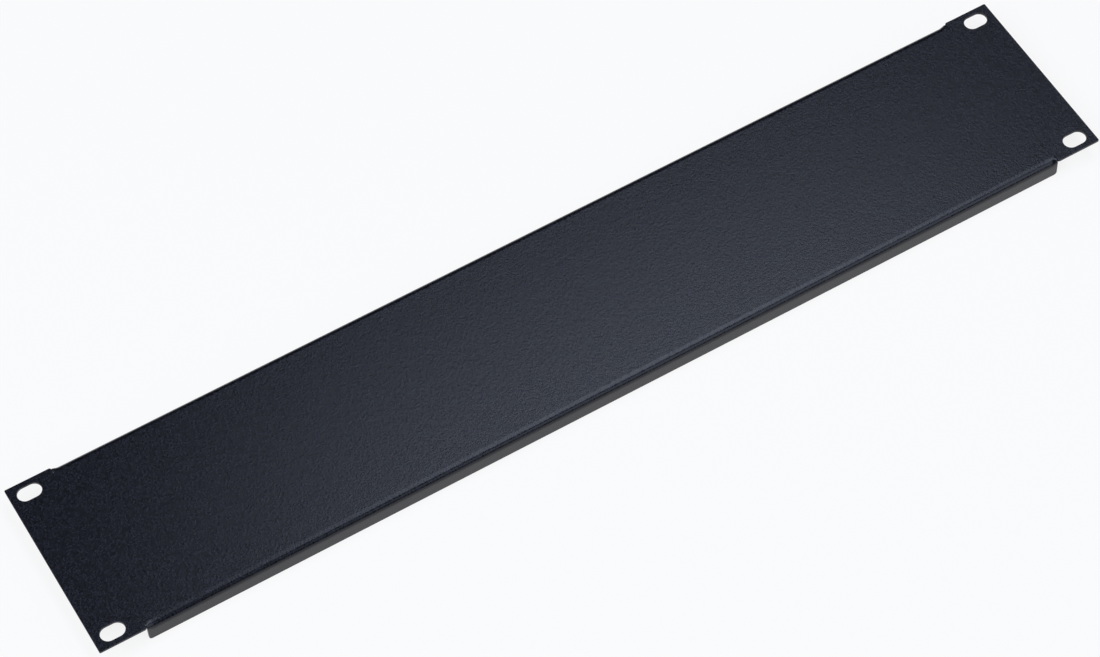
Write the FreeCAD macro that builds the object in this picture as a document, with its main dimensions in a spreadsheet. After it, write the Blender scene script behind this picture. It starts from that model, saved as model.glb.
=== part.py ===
"""Rack blanking panel: a flat plate with a slotted ear at each end and a flange folded back on each side.

It is one piece of sheet steel. The frame is that of the panel lying face up on its flanges: X runs
along its length, Y up its height, and Z out of its front face. The origin is the middle of the
footprint, level with the flanges' free edges. All sizes are in millimetres.
"""

import FreeCAD, Part
import math
import os
import Sketcher

# Each size that can be set by itself, and what it is.
SIZES = {
    "panel_length": (482.6, "overall, across both ears"),
    "panel_height": (88.1, "two rack units, less the gap to the neighbours"),
    "sheet_thickness": (1.2, "of the steel"),
    "ear_length": (21.3, "from the panel's end to the flanges, which pass between the rack's rails"),
    "ear_corner_radius": (0.5, "at the two outer corners of each ear"),
    "bend_inner_radius": (2.0, "inside each fold"),
    "flange_depth": (9.5, "from the front face to the flange's free edge"),
    "flange_corner_radius": (1.5, "at the two free corners of each flange"),
    "relief_width": (0.1, "of the shear cut that parts each flange from the ears"),
    "relief_overrun": (0.3, "how far that cut runs past the bend"),
    "slot_from_end": (8.75, "from a slot's middle to the panel's end, for slots 465.1 apart"),
    "slot_from_edge": (5.95, "from a slot's middle to the panel's edge, for slots 76.2 apart"),
    "slot_length": (10.8, "end to end, along the panel"),
    "slot_width": (7.1, "clears a rack screw"),
}

# Points of a sketch's lines and arcs, and its own axes, by the numbers that Sketcher gives them.
START, END, CENTRE = 1, 2, 3
ORIGIN = (-1, 1)
ACROSS_AXIS = -1


def fill_sheet(doc):
    """Write the sizes into the document's spreadsheet, one named cell each."""
    sheet = doc.addObject("Spreadsheet::Sheet", "Sizes")
    for row, (name, (value, note)) in enumerate(SIZES.items(), start=1):
        sheet.set(f"A{row}", name)
        sheet.set(f"B{row}", str(value))
        sheet.setAlias(f"B{row}", name)
        sheet.set(f"C{row}", note)
    doc.recompute()


def size(name):
    """A size as a number, for drawing a sketch near the place that its dimensions will give it."""
    return SIZES[name][0]


def plane(body, role):
    """One of the body's own three planes."""
    return next(item for item in body.Origin.OriginFeatures if item.Role == role)


def new_sketch(body, name, role, height=None):
    """A sketch on one of the body's planes, raised by a formula where one is given."""
    sketch = body.newObject("Sketcher::SketchObject", name)
    sketch.AttachmentSupport = [(plane(body, role), "")]
    sketch.MapMode = "FlatFace"
    if height:
        sketch.setExpression(".AttachmentOffset.Base.z", height)
    return sketch


def constrain(sketch, kind, *where):
    """One constraint without a number."""
    return sketch.addConstraint(Sketcher.Constraint(kind, *where))


def dimension(sketch, name, kind, where, formula, drawn):
    """One named dimension, drawn at a value and then bound to the sheet by its formula."""
    index = sketch.addConstraint(Sketcher.Constraint(kind, *where, drawn))
    sketch.renameConstraint(index, name)
    sketch.setExpression(f"Constraints.{name}", formula)


def add_line(sketch, start, end):
    """One straight line between two points of the sketch."""
    sketch.addGeometry(Part.LineSegment(FreeCAD.Vector(*start, 0), FreeCAD.Vector(*end, 0)), False)


def add_arc(sketch, centre, radius, first, last):
    """One arc, anticlockwise between two directions in quarter turns from the sketch's own X."""
    quarter = math.pi / 2
    circle = Part.Circle(FreeCAD.Vector(*centre, 0), FreeCAD.Vector(0, 0, 1), radius)
    sketch.addGeometry(Part.ArcOfCircle(circle, first * quarter, last * quarter), False)


def add_rectangle(sketch, left, right, low, high):
    """Four joined lines, numbered 0 low, 1 right, 2 high and 3 left, that may still move and stretch."""
    corners = [(left, low), (right, low), (right, high), (left, high)]
    for index in range(4):
        add_line(sketch, corners[index], corners[(index + 1) % 4])
    for index in range(4):
        constrain(sketch, "Coincident", index, END, (index + 1) % 4, START)
        constrain(sketch, "Vertical" if index % 2 else "Horizontal", index)


def add_plate(body):
    """The plate at its full length and height, its upper side being the panel's front face."""
    length, height = size("panel_length"), size("panel_height")
    sketch = new_sketch(body, "plate_outline", "XY_Plane", "Sizes.flange_depth")
    add_rectangle(sketch, -length / 2, length / 2, -height / 2, height / 2)
    constrain(sketch, "Symmetric", 0, START, 2, START, *ORIGIN)
    dimension(sketch, "length", "DistanceX", (0, START, 0, END), "Sizes.panel_length", length)
    dimension(sketch, "height", "DistanceY", (1, START, 1, END), "Sizes.panel_height", height)
    pad = body.newObject("PartDesign::Pad", "plate")
    pad.Profile = sketch
    pad.Reversed = True
    pad.setExpression("Length", "Sizes.sheet_thickness")
    return pad


def add_fold_gap(body):
    """The strip cut from the plate's upper edge where a flange folds, with a relief past each end."""
    reach = size("panel_length") / 2 - size("ear_length") + size("relief_width")
    top = size("panel_height") / 2
    depth = size("bend_inner_radius") + size("sheet_thickness") + size("relief_overrun")
    sketch = new_sketch(body, "fold_gap_outline", "XY_Plane", "Sizes.flange_depth")
    add_rectangle(sketch, -reach, reach, top - depth, top)
    half = "Sizes.panel_length / 2 - Sizes.ear_length + Sizes.relief_width"
    dimension(sketch, "left_end", "DistanceX", (0, START, *ORIGIN), half, reach)
    dimension(sketch, "right_end", "DistanceX", (*ORIGIN, 0, END), half, reach)
    dimension(sketch, "top", "DistanceY", (*ORIGIN, 2, END), "Sizes.panel_height / 2", top)
    formula = "Sizes.bend_inner_radius + Sizes.sheet_thickness + Sizes.relief_overrun"
    dimension(sketch, "depth", "DistanceY", (1, START, 1, END), formula, depth)
    return add_cut(body, "fold_gap", sketch)


def add_cut(body, name, sketch):
    """A pocket from the front face down through the sheet."""
    pocket = body.newObject("PartDesign::Pocket", name)
    pocket.Profile = sketch
    pocket.Type = "Length"
    pocket.setExpression("Length", "Sizes.sheet_thickness")
    return pocket


def add_flange(body):
    """The upper flange: a bend of constant thickness and a straight leg, as one section along the panel."""
    outside, face = size("panel_height") / 2, size("flange_depth")
    inner, thick = size("bend_inner_radius"), size("sheet_thickness")
    across, down = outside - inner - thick, face - inner - thick
    root = across - size("relief_overrun")
    sketch = new_sketch(body, "flange_section", "YZ_Plane")
    add_line(sketch, (root, face), (across, face))  # 0: the front face
    add_arc(sketch, (across, down), inner + thick, 0, 1)  # 1: outside of the bend
    add_line(sketch, (outside, down), (outside, 0))  # 2: outside of the leg
    add_line(sketch, (outside, 0), (outside - thick, 0))  # 3: its free edge
    add_line(sketch, (outside - thick, 0), (outside - thick, down))  # 4: inside of the leg
    add_arc(sketch, (across, down), inner, 0, 1)  # 5: inside of the bend
    add_line(sketch, (across, face - thick), (root, face - thick))  # 6: the rear face
    add_line(sketch, (root, face - thick), (root, face))  # 7: where it joins the plate

    for joint in [(0, END, 1, END), (1, START, 2, START), (4, END, 5, START), (5, END, 6, START)]:
        constrain(sketch, "Tangent", *joint)
    for joint in [(2, END, 3, START), (3, END, 4, START), (6, END, 7, START), (7, END, 0, START)]:
        constrain(sketch, "Coincident", *joint)
    constrain(sketch, "Coincident", 1, CENTRE, 5, CENTRE)
    for line in (0, 3, 6):
        constrain(sketch, "Horizontal", line)
    for line in (2, 4, 7):
        constrain(sketch, "Vertical", line)
    constrain(sketch, "PointOnObject", 2, END, ACROSS_AXIS)
    dimension(sketch, "outside", "DistanceX", (*ORIGIN, 2, END), "Sizes.panel_height / 2", outside)
    dimension(sketch, "depth", "DistanceY", (2, END, 0, START), "Sizes.flange_depth", face)
    dimension(sketch, "thickness", "DistanceX", (3, END, 3, START), "Sizes.sheet_thickness", thick)
    dimension(sketch, "bend", "Radius", (5,), "Sizes.bend_inner_radius", inner)
    dimension(sketch, "root", "DistanceX", (0, START, 0, END), "Sizes.relief_overrun", across - root)

    pad = body.newObject("PartDesign::Pad", "flange")
    pad.Profile = sketch
    pad.Midplane = True
    pad.setExpression("Length", "Sizes.panel_length - 2 * Sizes.ear_length")
    return pad


def mirror_to_lower_side(body, features):
    """The same fold gap and flange along the panel's lower side."""
    mirrored = body.newObject("PartDesign::Mirrored", "lower_flange")
    mirrored.Originals = features
    mirrored.MirrorPlane = (plane(body, "XZ_Plane"), [""])
    body.Tip = mirrored
    return mirrored


def add_slot(body):
    """The upper right screw slot: two half circles joined by straight sides along the panel."""
    x = size("panel_length") / 2 - size("slot_from_end")
    y = size("panel_height") / 2 - size("slot_from_edge")
    radius = size("slot_width") / 2
    straight = size("slot_length") / 2 - radius
    sketch = new_sketch(body, "slot_outline", "XY_Plane", "Sizes.flange_depth")
    add_line(sketch, (x - straight, y + radius), (x + straight, y + radius))  # 0: upper side
    add_arc(sketch, (x + straight, y), radius, -1, 1)  # 1: right end
    add_line(sketch, (x + straight, y - radius), (x - straight, y - radius))  # 2: lower side
    add_arc(sketch, (x - straight, y), radius, 1, 3)  # 3: left end

    for joint in [(0, END, 1, END), (1, START, 2, START), (2, END, 3, END), (3, START, 0, START)]:
        constrain(sketch, "Tangent", *joint)
    constrain(sketch, "Horizontal", 0)
    constrain(sketch, "Equal", 1, 3)
    middle = "Sizes.panel_length / 2 - Sizes.slot_from_end"
    half = "(Sizes.slot_length - Sizes.slot_width) / 2"
    level = "Sizes.panel_height / 2 - Sizes.slot_from_edge"
    dimension(sketch, "width", "Radius", (1,), "Sizes.slot_width / 2", radius)
    dimension(sketch, "level", "DistanceY", (*ORIGIN, 1, CENTRE), level, y)
    dimension(sketch, "near", "DistanceX", (*ORIGIN, 3, CENTRE), f"{middle} - {half}", x - straight)
    dimension(sketch, "far", "DistanceX", (*ORIGIN, 1, CENTRE), f"{middle} + {half}", x + straight)
    return add_cut(body, "slot", sketch)


def repeat_in_corners(body, slot):
    """The slot mirrored to the other ear and to the lower side, which makes four."""
    pattern = body.newObject("PartDesign::MultiTransform", "four_slots")
    pattern.Originals = [slot]
    mirrors = []
    for name, role in [("slots_across", "YZ_Plane"), ("slots_down", "XZ_Plane")]:
        mirror = body.Document.addObject("PartDesign::Mirrored", name)
        mirror.MirrorPlane = (plane(body, role), [""])
        mirrors.append(mirror)
    pattern.Transformations = mirrors
    body.Tip = pattern
    return pattern


def edges_through(shape, points):
    """The names of the short straight edges whose middles are at the given points."""
    near = 1e-3
    names = []
    for number, edge in enumerate(shape.Edges, start=1):
        if any(edge.CenterOfMass.distanceToPoint(point) < near for point in points):
            names.append(f"Edge{number}")
    if len(names) != len(points):
        raise RuntimeError(f"found {len(names)} edges for {len(points)} corners")
    return names


def in_four(x, y, z):
    """A point and its mirror images to the left and below."""
    return [FreeCAD.Vector(i * x, j * y, z) for i in (1, -1) for j in (1, -1)]


def round_corners(body, name, points, formula):
    """A fillet on the short edges across the sheet at some of its corners."""
    base = body.Tip
    fillet = body.newObject("PartDesign::Fillet", name)
    fillet.Base = (base, edges_through(base.Shape, points))
    fillet.setExpression("Radius", formula)
    return fillet


def build_panel(doc):
    """The whole panel, in the order in which it is cut, folded, pierced and deburred."""
    body = doc.addObject("PartDesign::Body", "panel")
    body.Label = "panel"
    add_plate(body)
    gap = add_fold_gap(body)
    flange = add_flange(body)
    mirror_to_lower_side(body, [gap, flange])
    doc.recompute()
    slot = add_slot(body)
    repeat_in_corners(body, slot)
    doc.recompute()

    middle = size("sheet_thickness") / 2
    end, top = size("panel_length") / 2, size("panel_height") / 2
    corners = in_four(end, top, size("flange_depth") - middle)
    round_corners(body, "ear_corners", corners, "Sizes.ear_corner_radius")
    doc.recompute()
    corners = in_four(end - size("ear_length"), top - middle, 0)
    round_corners(body, "flange_corners", corners, "Sizes.flange_corner_radius")
    doc.recompute()
    return body


def check(doc, body):
    """Stop if any feature failed, a cut removed nothing, or the panel isn't one sound solid."""
    for item in doc.Objects:
        if "Invalid" in item.State or "Error" in item.State:
            raise RuntimeError(f"{item.Name} is {item.State}")
    for name in ("fold_gap", "slot"):
        cut = doc.getObject(name)
        if cut.Shape.Volume >= cut.BaseFeature.Shape.Volume:
            raise RuntimeError(f"{name} cuts nothing")
    shape = body.Shape
    if shape.isNull() or not shape.isValid() or len(shape.Solids) != 1:
        raise RuntimeError("the panel isn't one sound solid")


def main():
    """Build the document, check it and write the panel's STEP file."""
    doc = FreeCAD.newDocument("rack_blanking_panel")
    fill_sheet(doc)
    body = build_panel(doc)
    check(doc, body)
    os.makedirs("parts", exist_ok=True)
    body.Shape.exportStep(f"parts/{body.Label}.step")
    box = body.Shape.BoundBox
    print(f"panel {box.XLength:.2f} x {box.YLength:.2f} x {box.ZLength:.2f} mm, {body.Shape.Volume:.0f} mm3")


main()
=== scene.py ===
"""Looks of a rack blanking panel: one steel sheet, folded and powder coated, lying face up.

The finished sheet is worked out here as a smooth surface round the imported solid. Lengths are in
metres. X runs along the panel, Y up its height and Z out of its front face.
"""

import math

import bpy
import numpy as np
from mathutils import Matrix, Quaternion, Vector


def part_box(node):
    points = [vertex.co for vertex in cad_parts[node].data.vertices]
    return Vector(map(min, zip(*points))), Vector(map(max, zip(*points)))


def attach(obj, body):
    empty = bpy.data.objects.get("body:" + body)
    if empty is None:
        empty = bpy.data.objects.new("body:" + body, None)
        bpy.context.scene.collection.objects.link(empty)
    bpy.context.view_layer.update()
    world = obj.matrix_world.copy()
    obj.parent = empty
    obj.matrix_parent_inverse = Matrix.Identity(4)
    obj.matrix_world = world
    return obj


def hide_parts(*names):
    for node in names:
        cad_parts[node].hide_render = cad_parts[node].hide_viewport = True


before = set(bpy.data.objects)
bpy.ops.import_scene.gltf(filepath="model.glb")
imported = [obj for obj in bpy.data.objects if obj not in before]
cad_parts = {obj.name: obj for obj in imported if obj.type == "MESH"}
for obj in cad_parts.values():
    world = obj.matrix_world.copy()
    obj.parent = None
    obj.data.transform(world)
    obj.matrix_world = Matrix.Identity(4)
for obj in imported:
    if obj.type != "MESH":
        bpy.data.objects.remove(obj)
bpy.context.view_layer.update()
LOW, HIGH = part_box("panel")
MM = 0.001

# The panel's outline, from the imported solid.
HALF_LENGTH = (HIGH.x - LOW.x) / 2
HALF_HEIGHT = (HIGH.y - LOW.y) / 2
FACE = HIGH.z
FOOT = LOW.z

# The sheet and its folds.
SHEET = 1.2 * MM
EAR_LENGTH = 21.3 * MM
EAR_CORNER = 0.5 * MM
EAR_ROOT_CORNER = 0.8 * MM  # beside the shear cut, where the coat bridges it
BEND = 3.2 * MM  # outer radius
BEND_AT_END = 1.7 * MM  # outer radius at a flange's end, where the flat ear holds the bend back
BEND_RUNOUT = 3.0 * MM  # length over which the bend tightens to that
FLANGE_END = HALF_LENGTH - EAR_LENGTH
FLANGE_CORNER = 1.5 * MM
RELIEF_SIDE = FLANGE_END + 0.1 * MM  # the far side of the shear cut that parts flange and ear
RELIEF_OVERRUN = 0.3 * MM  # how far that cut runs past the bend
COATED_EDGE = 0.15 * MM  # radius that the coat leaves on a cut edge

# Places across the flat blank, measured from its middle along the outer skin.
BEND_ROOT = HALF_HEIGHT - BEND
RELIEF_FOOT = BEND_ROOT - RELIEF_OVERRUN
BEND_END = BEND_ROOT + BEND * math.pi / 2
FREE_EDGE = BEND_END + FACE - FOOT - BEND

# A screw slot: two half circles joined by straight sides. Its middle is measured from the panel's
# end and its edge.
SLOT_FROM_END, SLOT_FROM_EDGE = 8.75 * MM, 5.95 * MM
SLOT_LENGTH, SLOT_WIDTH = 10.8 * MM, 7.1 * MM
SLOT = Vector((HALF_LENGTH - SLOT_FROM_END, HALF_HEIGHT - SLOT_FROM_EDGE))
SLOT_RADIUS = SLOT_WIDTH / 2
SLOT_STRAIGHT = SLOT_LENGTH / 2 - SLOT_RADIUS  # half of a straight side
SLOT_CELL_FOOT = SLOT.y - 9 * MM  # lower side of the cell of sheet that holds the slot

# Steps of the grids.
ARC_STEPS = 12  # in a quarter of a circle at a slot's end
BEND_STEPS = 16  # round a bend
CORNER_STEPS = 5  # across a flange's rounded corner
PLATE_STEPS = 40  # from the panel's middle to where its bends begin to tighten
PLATE_ROWS = 10  # from the panel's middle to the slots' cells
RING_STEPS = 3  # from a cell's border to its slot
ROUNDING = 1e-9  # what is nearer to a line than this is on it
SAME_POINT = 1e-6  # corners of two patches that are nearer than this are one

# The coat's grain. A real one is down to a third of this width, and this is the finest that shows.
GRAIN_WIDTH, GRAIN_HEIGHT = 0.9 * MM, 0.048 * MM
PEEL_WIDTH, PEEL_HEIGHT = 6 * MM, 0.01 * MM
PIT_COLOUR, CREST_COLOUR = "#050609", "#181925"
PIT_ROUGHNESS, CREST_ROUGHNESS = 0.17, 0.31
RESIN_IOR = 1.44

# The set. Lengths are metres. A lamp's name, place, target, width, height and radiance.
FLOOR_REACH = 20.0
CARD_WHITE_SHARE = 0.85  # of the card that is seen as pure white
LAMP_COLOUR = "#DFEAFF"
LAMPS = [
    ("overhead", (1.05, 0.1, 3.28), (1.05, 0.1, 0), 1.13, 3.6, 3.6),
    ("left", (-1.7, -0.3, 2.2), (0, 0, 0), 2.3, 2.3, 3.4),
    ("front", (0.95, -1.45, 1.0), (0, 0, 0), 1.5, 1.1, 1.6),
]
ROOM_STRENGTH = 0.05

# The camera, by the way that it looks and what it looks at.
CAMERA_AZIMUTH, CAMERA_ELEVATION, CAMERA_ROLL = -27.518, 56.344, -3.369  # degrees
CAMERA_TARGET = Vector((-0.01014, -0.00431, FACE))
CAMERA_DISTANCE = 1.5571
CAMERA_LENS = 121.51  # millimetres


def stations(corners, steps):
    """Places along a broken line: its corners in order, with so many equal steps after each."""
    corners = np.asarray(corners, float)
    marks = np.concatenate([[0], np.cumsum(steps)])
    count = np.arange(marks[-1] + 1)
    if corners.ndim == 1:
        return np.interp(count, marks, corners)
    return np.stack([np.interp(count, marks, column) for column in corners.T], axis=-1)


def both_ways(places):
    """The same places on each side of the middle, in rising order."""
    both = np.concatenate([-places, places])
    return np.unique((both / ROUNDING).round()) * ROUNDING


def fold(along, across):
    """Where places on the flat blank lie on the folded panel's outer skin.

    Up to the bend's root a place keeps its height. Past it the skin turns a quarter circle, its
    angle being the arc length over the bend's radius, and what is left of the width runs straight
    down to the free edge. Towards a flange's end the radius shrinks by a smooth step, three
    squares less two cubes of the share of the way run, and the flat and the leg stretch to meet
    the tighter bend.
    """
    reach = np.abs(across)
    run = np.clip((np.abs(along) - FLANGE_END + BEND_RUNOUT) / BEND_RUNOUT, 0, 1)
    radius = BEND - (BEND - BEND_AT_END) * (3 * run**2 - 2 * run**3)
    angle = np.clip((reach - BEND_ROOT) / BEND, 0, math.pi / 2)
    flat = np.clip((reach - RELIEF_FOOT) / (BEND_ROOT - RELIEF_FOOT), 0, 1)
    leg = np.clip((reach - BEND_END) / (FREE_EDGE - FLANGE_CORNER - BEND_END), 0, 1)
    corner = np.maximum(reach - (FREE_EDGE - FLANGE_CORNER), 0)
    up = np.minimum(reach, RELIEF_FOOT) + flat * (HALF_HEIGHT - radius - RELIEF_FOOT)
    up += radius * np.sin(angle)
    down = radius * (1 - np.cos(angle)) + leg * (FACE - FOOT - FLANGE_CORNER - radius) + corner
    return np.stack([along, np.sign(across) * up, FACE - down], axis=-1)


def quads(rows, columns, keep=None, turned=False):
    """The cells of a grid of points, as four point numbers each, or only the cells to keep."""
    number = np.arange(rows * columns).reshape(rows, columns)
    corners = [number[:-1, :-1], number[1:, :-1], number[1:, 1:], number[:-1, 1:]]
    cells = np.stack(corners[::-1] if turned else corners, axis=-1)
    return cells.reshape(-1, 4) if keep is None else cells[keep]


# Lines of the grid that runs along and across the flat plate. Those near the ears are shared
# with the cells round the slots, and those near the flanges' ends with their rounded corners.
CELL_ALONG = stations(
    [RELIEF_SIDE, SLOT.x - SLOT_STRAIGHT, SLOT.x + SLOT_STRAIGHT, HALF_LENGTH],
    [ARC_STEPS // 2, 1, ARC_STEPS // 2],
)
CELL_ACROSS = stations(
    [SLOT_CELL_FOOT, SLOT.y, RELIEF_FOOT, HALF_HEIGHT],
    [ARC_STEPS // 2, ARC_STEPS // 4, ARC_STEPS // 4],
)
MIDDLE_ALONG = stations(
    [0, FLANGE_END - BEND_RUNOUT, FLANGE_END - FLANGE_CORNER, FLANGE_END],
    [PLATE_STEPS, 3, CORNER_STEPS],
)
MIDDLE_ACROSS = stations([0, SLOT_CELL_FOOT], [PLATE_ROWS])
PLATE_ALONG = both_ways(np.concatenate([MIDDLE_ALONG, CELL_ALONG]))
PLATE_ACROSS = both_ways(
    np.concatenate([MIDDLE_ACROSS, CELL_ACROSS[CELL_ACROSS < RELIEF_FOOT + ROUNDING]])
)


def plate_patch():
    """The flat plate as one grid, less the cells round the slots."""
    along, across = np.meshgrid(PLATE_ALONG, PLATE_ACROSS, indexing="ij")
    beyond_relief = np.abs(PLATE_ALONG[:-1] + PLATE_ALONG[1:]) / 2 > RELIEF_SIDE
    beside_slot = np.abs(PLATE_ACROSS[:-1] + PLATE_ACROSS[1:]) / 2 > SLOT_CELL_FOOT
    keep = ~(beyond_relief[:, None] & beside_slot[None, :])
    return fold(along, across), quads(*along.shape, keep)


def flange_patch(side):
    """A flange with its bend as one grid, on the upper side (1) or the lower (-1).

    The square at each free corner is wound onto a quarter disc: a place's distance from the
    disc's middle is the larger of its two steps from there, and its angle goes from nought on
    the end to a quarter turn on the free edge with the difference of the steps.
    """
    columns = both_ways(MIDDLE_ALONG)
    rows = stations(
        [RELIEF_FOOT, BEND_ROOT, BEND_END, FREE_EDGE - FLANGE_CORNER, FREE_EDGE],
        [1, BEND_STEPS, 3, CORNER_STEPS],
    )
    along, across = np.meshgrid(columns, rows, indexing="ij")
    end = np.maximum(np.abs(along) - (FLANGE_END - FLANGE_CORNER), 0)
    edge = np.maximum(across - (FREE_EDGE - FLANGE_CORNER), 0)
    radius = np.maximum(end, edge)
    angle = math.pi / 4 * (1 + (edge - end) / np.maximum(radius, 1e-9))
    corner = (end > 0) & (edge > 0)
    wound = np.sign(along) * (FLANGE_END - FLANGE_CORNER + radius * np.cos(angle))
    along = np.where(corner, wound, along)
    across = np.where(corner, FREE_EDGE - FLANGE_CORNER + radius * np.sin(angle), across)
    return fold(along, side * across), quads(*along.shape, turned=side < 0)


def quarter_circle(x, y, radius, first):
    """Places along a quarter of a circle about (x, y), from a direction in quarter turns."""
    turn = (first + np.linspace(0, 1, ARC_STEPS // 3 + 1)) * math.pi / 2
    return np.stack([x + radius * np.cos(turn), y + radius * np.sin(turn)], axis=-1)


def slot_patch(end, side):
    """The sheet round one slot, at the right end (1) or left (-1), and the upper side or lower.

    Its grid runs once round and inwards: each place lies a share of the way from a place on the
    cell's border to the place with the same number on the slot's outline.
    """
    left, right, low, high = CELL_ALONG[0], HALF_LENGTH, SLOT_CELL_FOOT, HALF_HEIGHT
    near, far = SLOT.x - SLOT_STRAIGHT, SLOT.x + SLOT_STRAIGHT
    half, third, quarter = ARC_STEPS // 2, ARC_STEPS // 3, ARC_STEPS // 4
    low_right = stations(
        [(near, low), (far, low), (right, low), (right, SLOT.y), (right, high - EAR_CORNER)],
        [1, half, half, third],
    )
    outer_corner = quarter_circle(right - EAR_CORNER, high - EAR_CORNER, EAR_CORNER, 0)
    top = stations(
        [(right - EAR_CORNER, high), (far, high), (near, high), (left + EAR_ROOT_CORNER, high)],
        [third, 1, third],
    )
    root_x, root_y = left + EAR_ROOT_CORNER, high - EAR_ROOT_CORNER
    root_corner = quarter_circle(root_x, root_y, EAR_ROOT_CORNER, 1)
    low_left = stations(
        [(left, root_y), (left, RELIEF_FOOT), (left, SLOT.y), (left, low), (near, low)],
        [1, quarter, half, half],
    )
    border = np.concatenate([low_right, outer_corner[1:-1], top, root_corner[1:-1], low_left])
    turn = np.linspace(-math.pi / 2, math.pi / 2, 2 * ARC_STEPS + 1)
    arc = np.stack([np.cos(turn), np.sin(turn)], axis=-1) * SLOT_RADIUS
    right_end, left_end = arc + (far, SLOT.y), (near, SLOT.y) - arc
    outline = np.concatenate([left_end[-1:], right_end, left_end])
    share = np.linspace(0, 1, RING_STEPS + 1)[None, :, None]
    ring = border[:, None] * (1 - share) + outline[:, None] * share
    points = fold_flat(end * ring[..., 0], side * ring[..., 1])
    return points, quads(*ring.shape[:2], turned=end * side < 0)


def fold_flat(along, across):
    """Places on an ear, which stays flat up to its edge."""
    return np.stack([along, across, np.full_like(along, FACE)], axis=-1)


def joined(patches):
    """One mesh's points and faces from patches that share the points along their borders."""
    points, faces, start = [], [], 0
    for places, cells in patches:
        points.append(places.reshape(-1, 3))
        faces.append(cells + start)
        start += len(points[-1])
    points, faces = np.concatenate(points), np.concatenate(faces)
    _, first, number = np.unique(
        (points / SAME_POINT).round(), axis=0, return_index=True, return_inverse=True
    )
    return points[first], number.reshape(-1)[faces]


def add_panel():
    """The coated sheet: its outer skin, given its thickness inwards and the coat's soft edges."""
    patches = [plate_patch()]
    patches += [flange_patch(side) for side in (1, -1)]
    patches += [slot_patch(end, side) for end in (1, -1) for side in (1, -1)]
    points, faces = joined(patches)
    mesh = bpy.data.meshes.new("folded_sheet")
    mesh.from_pydata(points.tolist(), [], faces.tolist())
    mesh.polygons.foreach_set("use_smooth", np.ones(len(faces), bool))
    panel = bpy.data.objects.new("folded_sheet", mesh)
    bpy.context.scene.collection.objects.link(panel)
    solid = panel.modifiers.new("sheet_thickness", "SOLIDIFY")
    solid.thickness = SHEET
    solid.offset = -1
    solid.use_even_offset = True
    edges = panel.modifiers.new("coated_edges", "BEVEL")
    edges.limit_method = "ANGLE"
    edges.angle_limit = math.radians(50)
    edges.width = COATED_EDGE
    edges.use_clamp_overlap = False  # the slits' short edges would shrink it everywhere
    edges.segments = 3
    edges.harden_normals = True
    return panel


def linear(code):
    """An sRGB hex colour as the linear red, green, blue and alpha that Blender's sockets take."""
    value = np.array([int(code[i : i + 2], 16) for i in (1, 3, 5)]) / 255
    level = np.where(value <= 0.04045, value / 12.92, ((value + 0.055) / 1.055) ** 2.4)
    return (*level.tolist(), 1.0)


def add_node(tree, kind, inputs, **settings):
    """One node with its settings. Each input is given its value, or the output that feeds it."""
    node = tree.nodes.new(kind)
    for name, value in settings.items():
        setattr(node, name, value)
    for name, value in inputs.items():
        if isinstance(value, bpy.types.NodeSocket):
            tree.links.new(value, node.inputs[name])
        else:
            node.inputs[name].default_value = value
    return node


def new_material(name):
    """An empty material, its node tree and the output to feed."""
    material = bpy.data.materials.new(name)
    material.use_nodes = True
    material.node_tree.nodes.clear()
    return material, material.node_tree


def powder_coat():
    """Blue-black polyester powder coat, sprayed dry and baked on steel.

    Melted powder leaves a semi-matt skin with a very fine grain, whose crests are a little paler
    and rougher than its pits, over a slower orange peel. Its sheen is that of clear resin over
    dark pigment.
    """
    material, tree = new_material("powder_coated_steel")
    place = add_node(tree, "ShaderNodeTexCoord", {}).outputs["Object"]
    grain = add_node(
        tree, "ShaderNodeTexNoise",
        {"Vector": place, "Scale": 1 / GRAIN_WIDTH, "Detail": 2.0, "Roughness": 0.6},
    )
    peel = add_node(
        tree, "ShaderNodeTexNoise",
        {"Vector": place, "Scale": 1 / PEEL_WIDTH, "Detail": 1.0, "Roughness": 0.5},
    )
    pits_and_crests = {"Value": grain.outputs["Fac"], "From Min": 0.3, "From Max": 0.7}
    height = add_node(tree, "ShaderNodeMapRange", pits_and_crests)
    gloss = add_node(
        tree, "ShaderNodeMapRange",
        {**pits_and_crests, "To Min": PIT_ROUGHNESS, "To Max": CREST_ROUGHNESS},
    )
    colour = add_node(
        tree, "ShaderNodeMix",
        {"Factor": height.outputs["Result"], "A": linear(PIT_COLOUR), "B": linear(CREST_COLOUR)},
        data_type="RGBA",
    )
    slow = add_node(
        tree, "ShaderNodeBump",
        {"Height": peel.outputs["Fac"], "Strength": 1.0, "Distance": PEEL_HEIGHT},
    )
    fine = add_node(
        tree, "ShaderNodeBump",
        {"Height": grain.outputs["Fac"], "Strength": 1.0, "Distance": GRAIN_HEIGHT,
         "Normal": slow.outputs["Normal"]},
    )
    shader = add_node(
        tree, "ShaderNodeBsdfPrincipled",
        {"Base Color": colour.outputs["Result"], "Roughness": gloss.outputs["Result"],
         "Normal": fine.outputs["Normal"], "IOR": RESIN_IOR},
    )
    add_node(tree, "ShaderNodeOutputMaterial", {"Surface": shader.outputs["BSDF"]})
    return material


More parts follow.
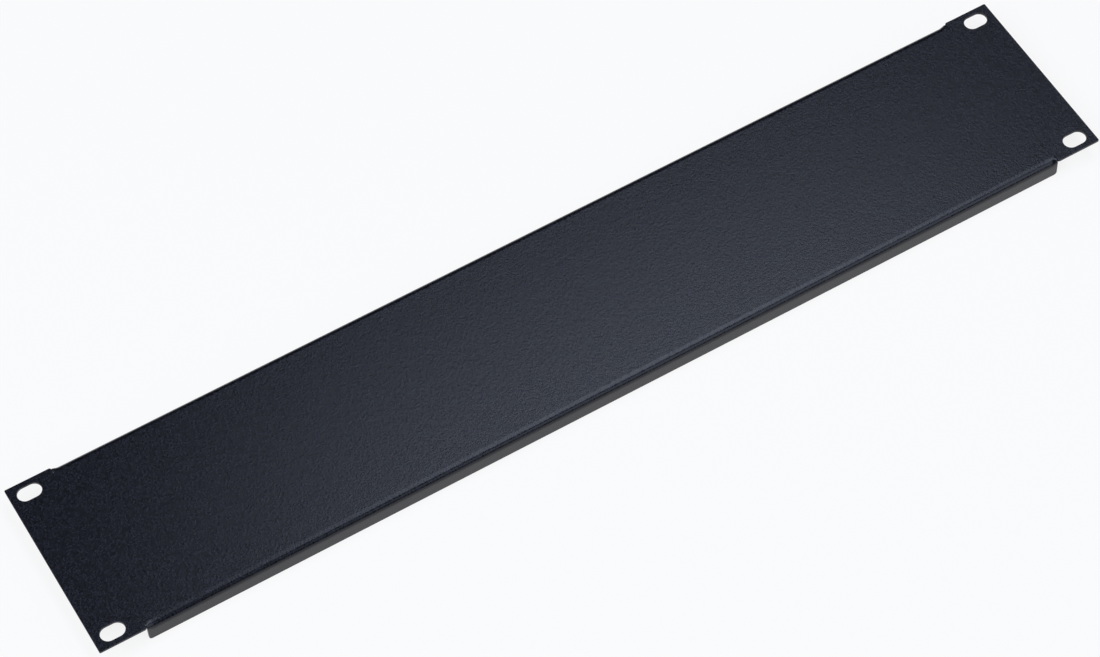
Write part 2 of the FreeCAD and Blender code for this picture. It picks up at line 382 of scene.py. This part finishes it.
def floor_material():
    """White card. The camera and gloss see it mostly as pure white, with part of its own shading
    left in, so that it keeps the panel's shadow.
    """
    material, tree = new_material("white_card")
    card = add_node(tree, "ShaderNodeBsdfDiffuse", {"Color": linear("#FFFBF2")})
    white = add_node(tree, "ShaderNodeEmission", {"Color": linear("#FFFFFF"), "Strength": 1.0})
    ray = add_node(tree, "ShaderNodeLightPath", {})
    seen = add_node(
        tree, "ShaderNodeMath", {0: ray.outputs["Is Camera Ray"], 1: ray.outputs["Is Glossy Ray"]},
        operation="MAXIMUM",
    )
    seen = add_node(
        tree, "ShaderNodeMath", {0: seen.outputs[0], 1: ray.outputs["Is Transmission Ray"]},
        operation="MAXIMUM",
    )
    share = add_node(
        tree, "ShaderNodeMath", {0: seen.outputs[0], 1: CARD_WHITE_SHARE}, operation="MULTIPLY"
    )
    mix = add_node(
        tree, "ShaderNodeMixShader",
        {0: share.outputs[0], 1: card.outputs["BSDF"], 2: white.outputs["Emission"]},
    )
    add_node(tree, "ShaderNodeOutputMaterial", {"Surface": mix.outputs["Shader"]})
    return material


def add_floor():
    """A wide flat floor at the flanges' free edges."""
    around = [(-1, -1), (1, -1), (1, 1), (-1, 1)]
    corners = [(x * FLOOR_REACH, y * FLOOR_REACH, FOOT) for x, y in around]
    mesh = bpy.data.meshes.new("floor")
    mesh.from_pydata(corners, [], [(0, 1, 2, 3)])
    mesh.materials.append(floor_material())
    floor = bpy.data.objects.new("floor", mesh)
    bpy.context.scene.collection.objects.link(floor)


def add_softbox(name, place, target, width, height, radiance):
    """A rectangular soft light that faces a target. Its power is pi times area times radiance."""
    data = bpy.data.lights.new(name, "AREA")
    data.shape = "RECTANGLE"
    data.size = width
    data.size_y = height
    data.energy = math.pi * width * height * radiance
    data.color = linear(LAMP_COLOUR)[:3]
    lamp = bpy.data.objects.new(name, data)
    lamp.location = place
    lamp.rotation_mode = "QUATERNION"
    lamp.rotation_quaternion = (Vector(target) - Vector(place)).to_track_quat("-Z", "Y")
    lamp.visible_camera = False
    bpy.context.scene.collection.objects.link(lamp)


def add_lights():
    """A long softbox overhead to the right, a large one high at the left and a weak one in front."""
    for lamp in LAMPS:
        add_softbox(*lamp)
    world = bpy.data.worlds.new("room")
    bpy.context.scene.world = world
    world.use_nodes = True
    tree = world.node_tree
    tree.nodes.clear()
    room = add_node(
        tree, "ShaderNodeBackground", {"Color": linear("#FFFFFF"), "Strength": ROOM_STRENGTH}
    )
    add_node(tree, "ShaderNodeOutputWorld", {"Surface": room.outputs["Background"]})


def add_camera():
    """A long lens looking down on the panel from its lower left, held a little off level."""
    azimuth, elevation = math.radians(CAMERA_AZIMUTH), math.radians(CAMERA_ELEVATION)
    roll = math.radians(CAMERA_ROLL)
    flat = math.cos(elevation)
    back = Vector((math.sin(azimuth) * flat, -math.cos(azimuth) * flat, math.sin(elevation)))
    data = bpy.data.cameras.new("camera")
    data.lens = CAMERA_LENS
    camera = bpy.data.objects.new("camera", data)
    camera.location = CAMERA_TARGET + CAMERA_DISTANCE * back
    camera.rotation_mode = "QUATERNION"
    camera.rotation_quaternion = (-back).to_track_quat("-Z", "Y") @ Quaternion((0, 0, 1), roll)
    bpy.context.scene.collection.objects.link(camera)
    bpy.context.scene.camera = camera


panel = add_panel()
panel.data.materials.append(powder_coat())
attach(panel, "root")
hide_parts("panel")
add_floor()
add_lights()
add_camera()
bpy.context.scene.view_settings.view_transform = "Standard"
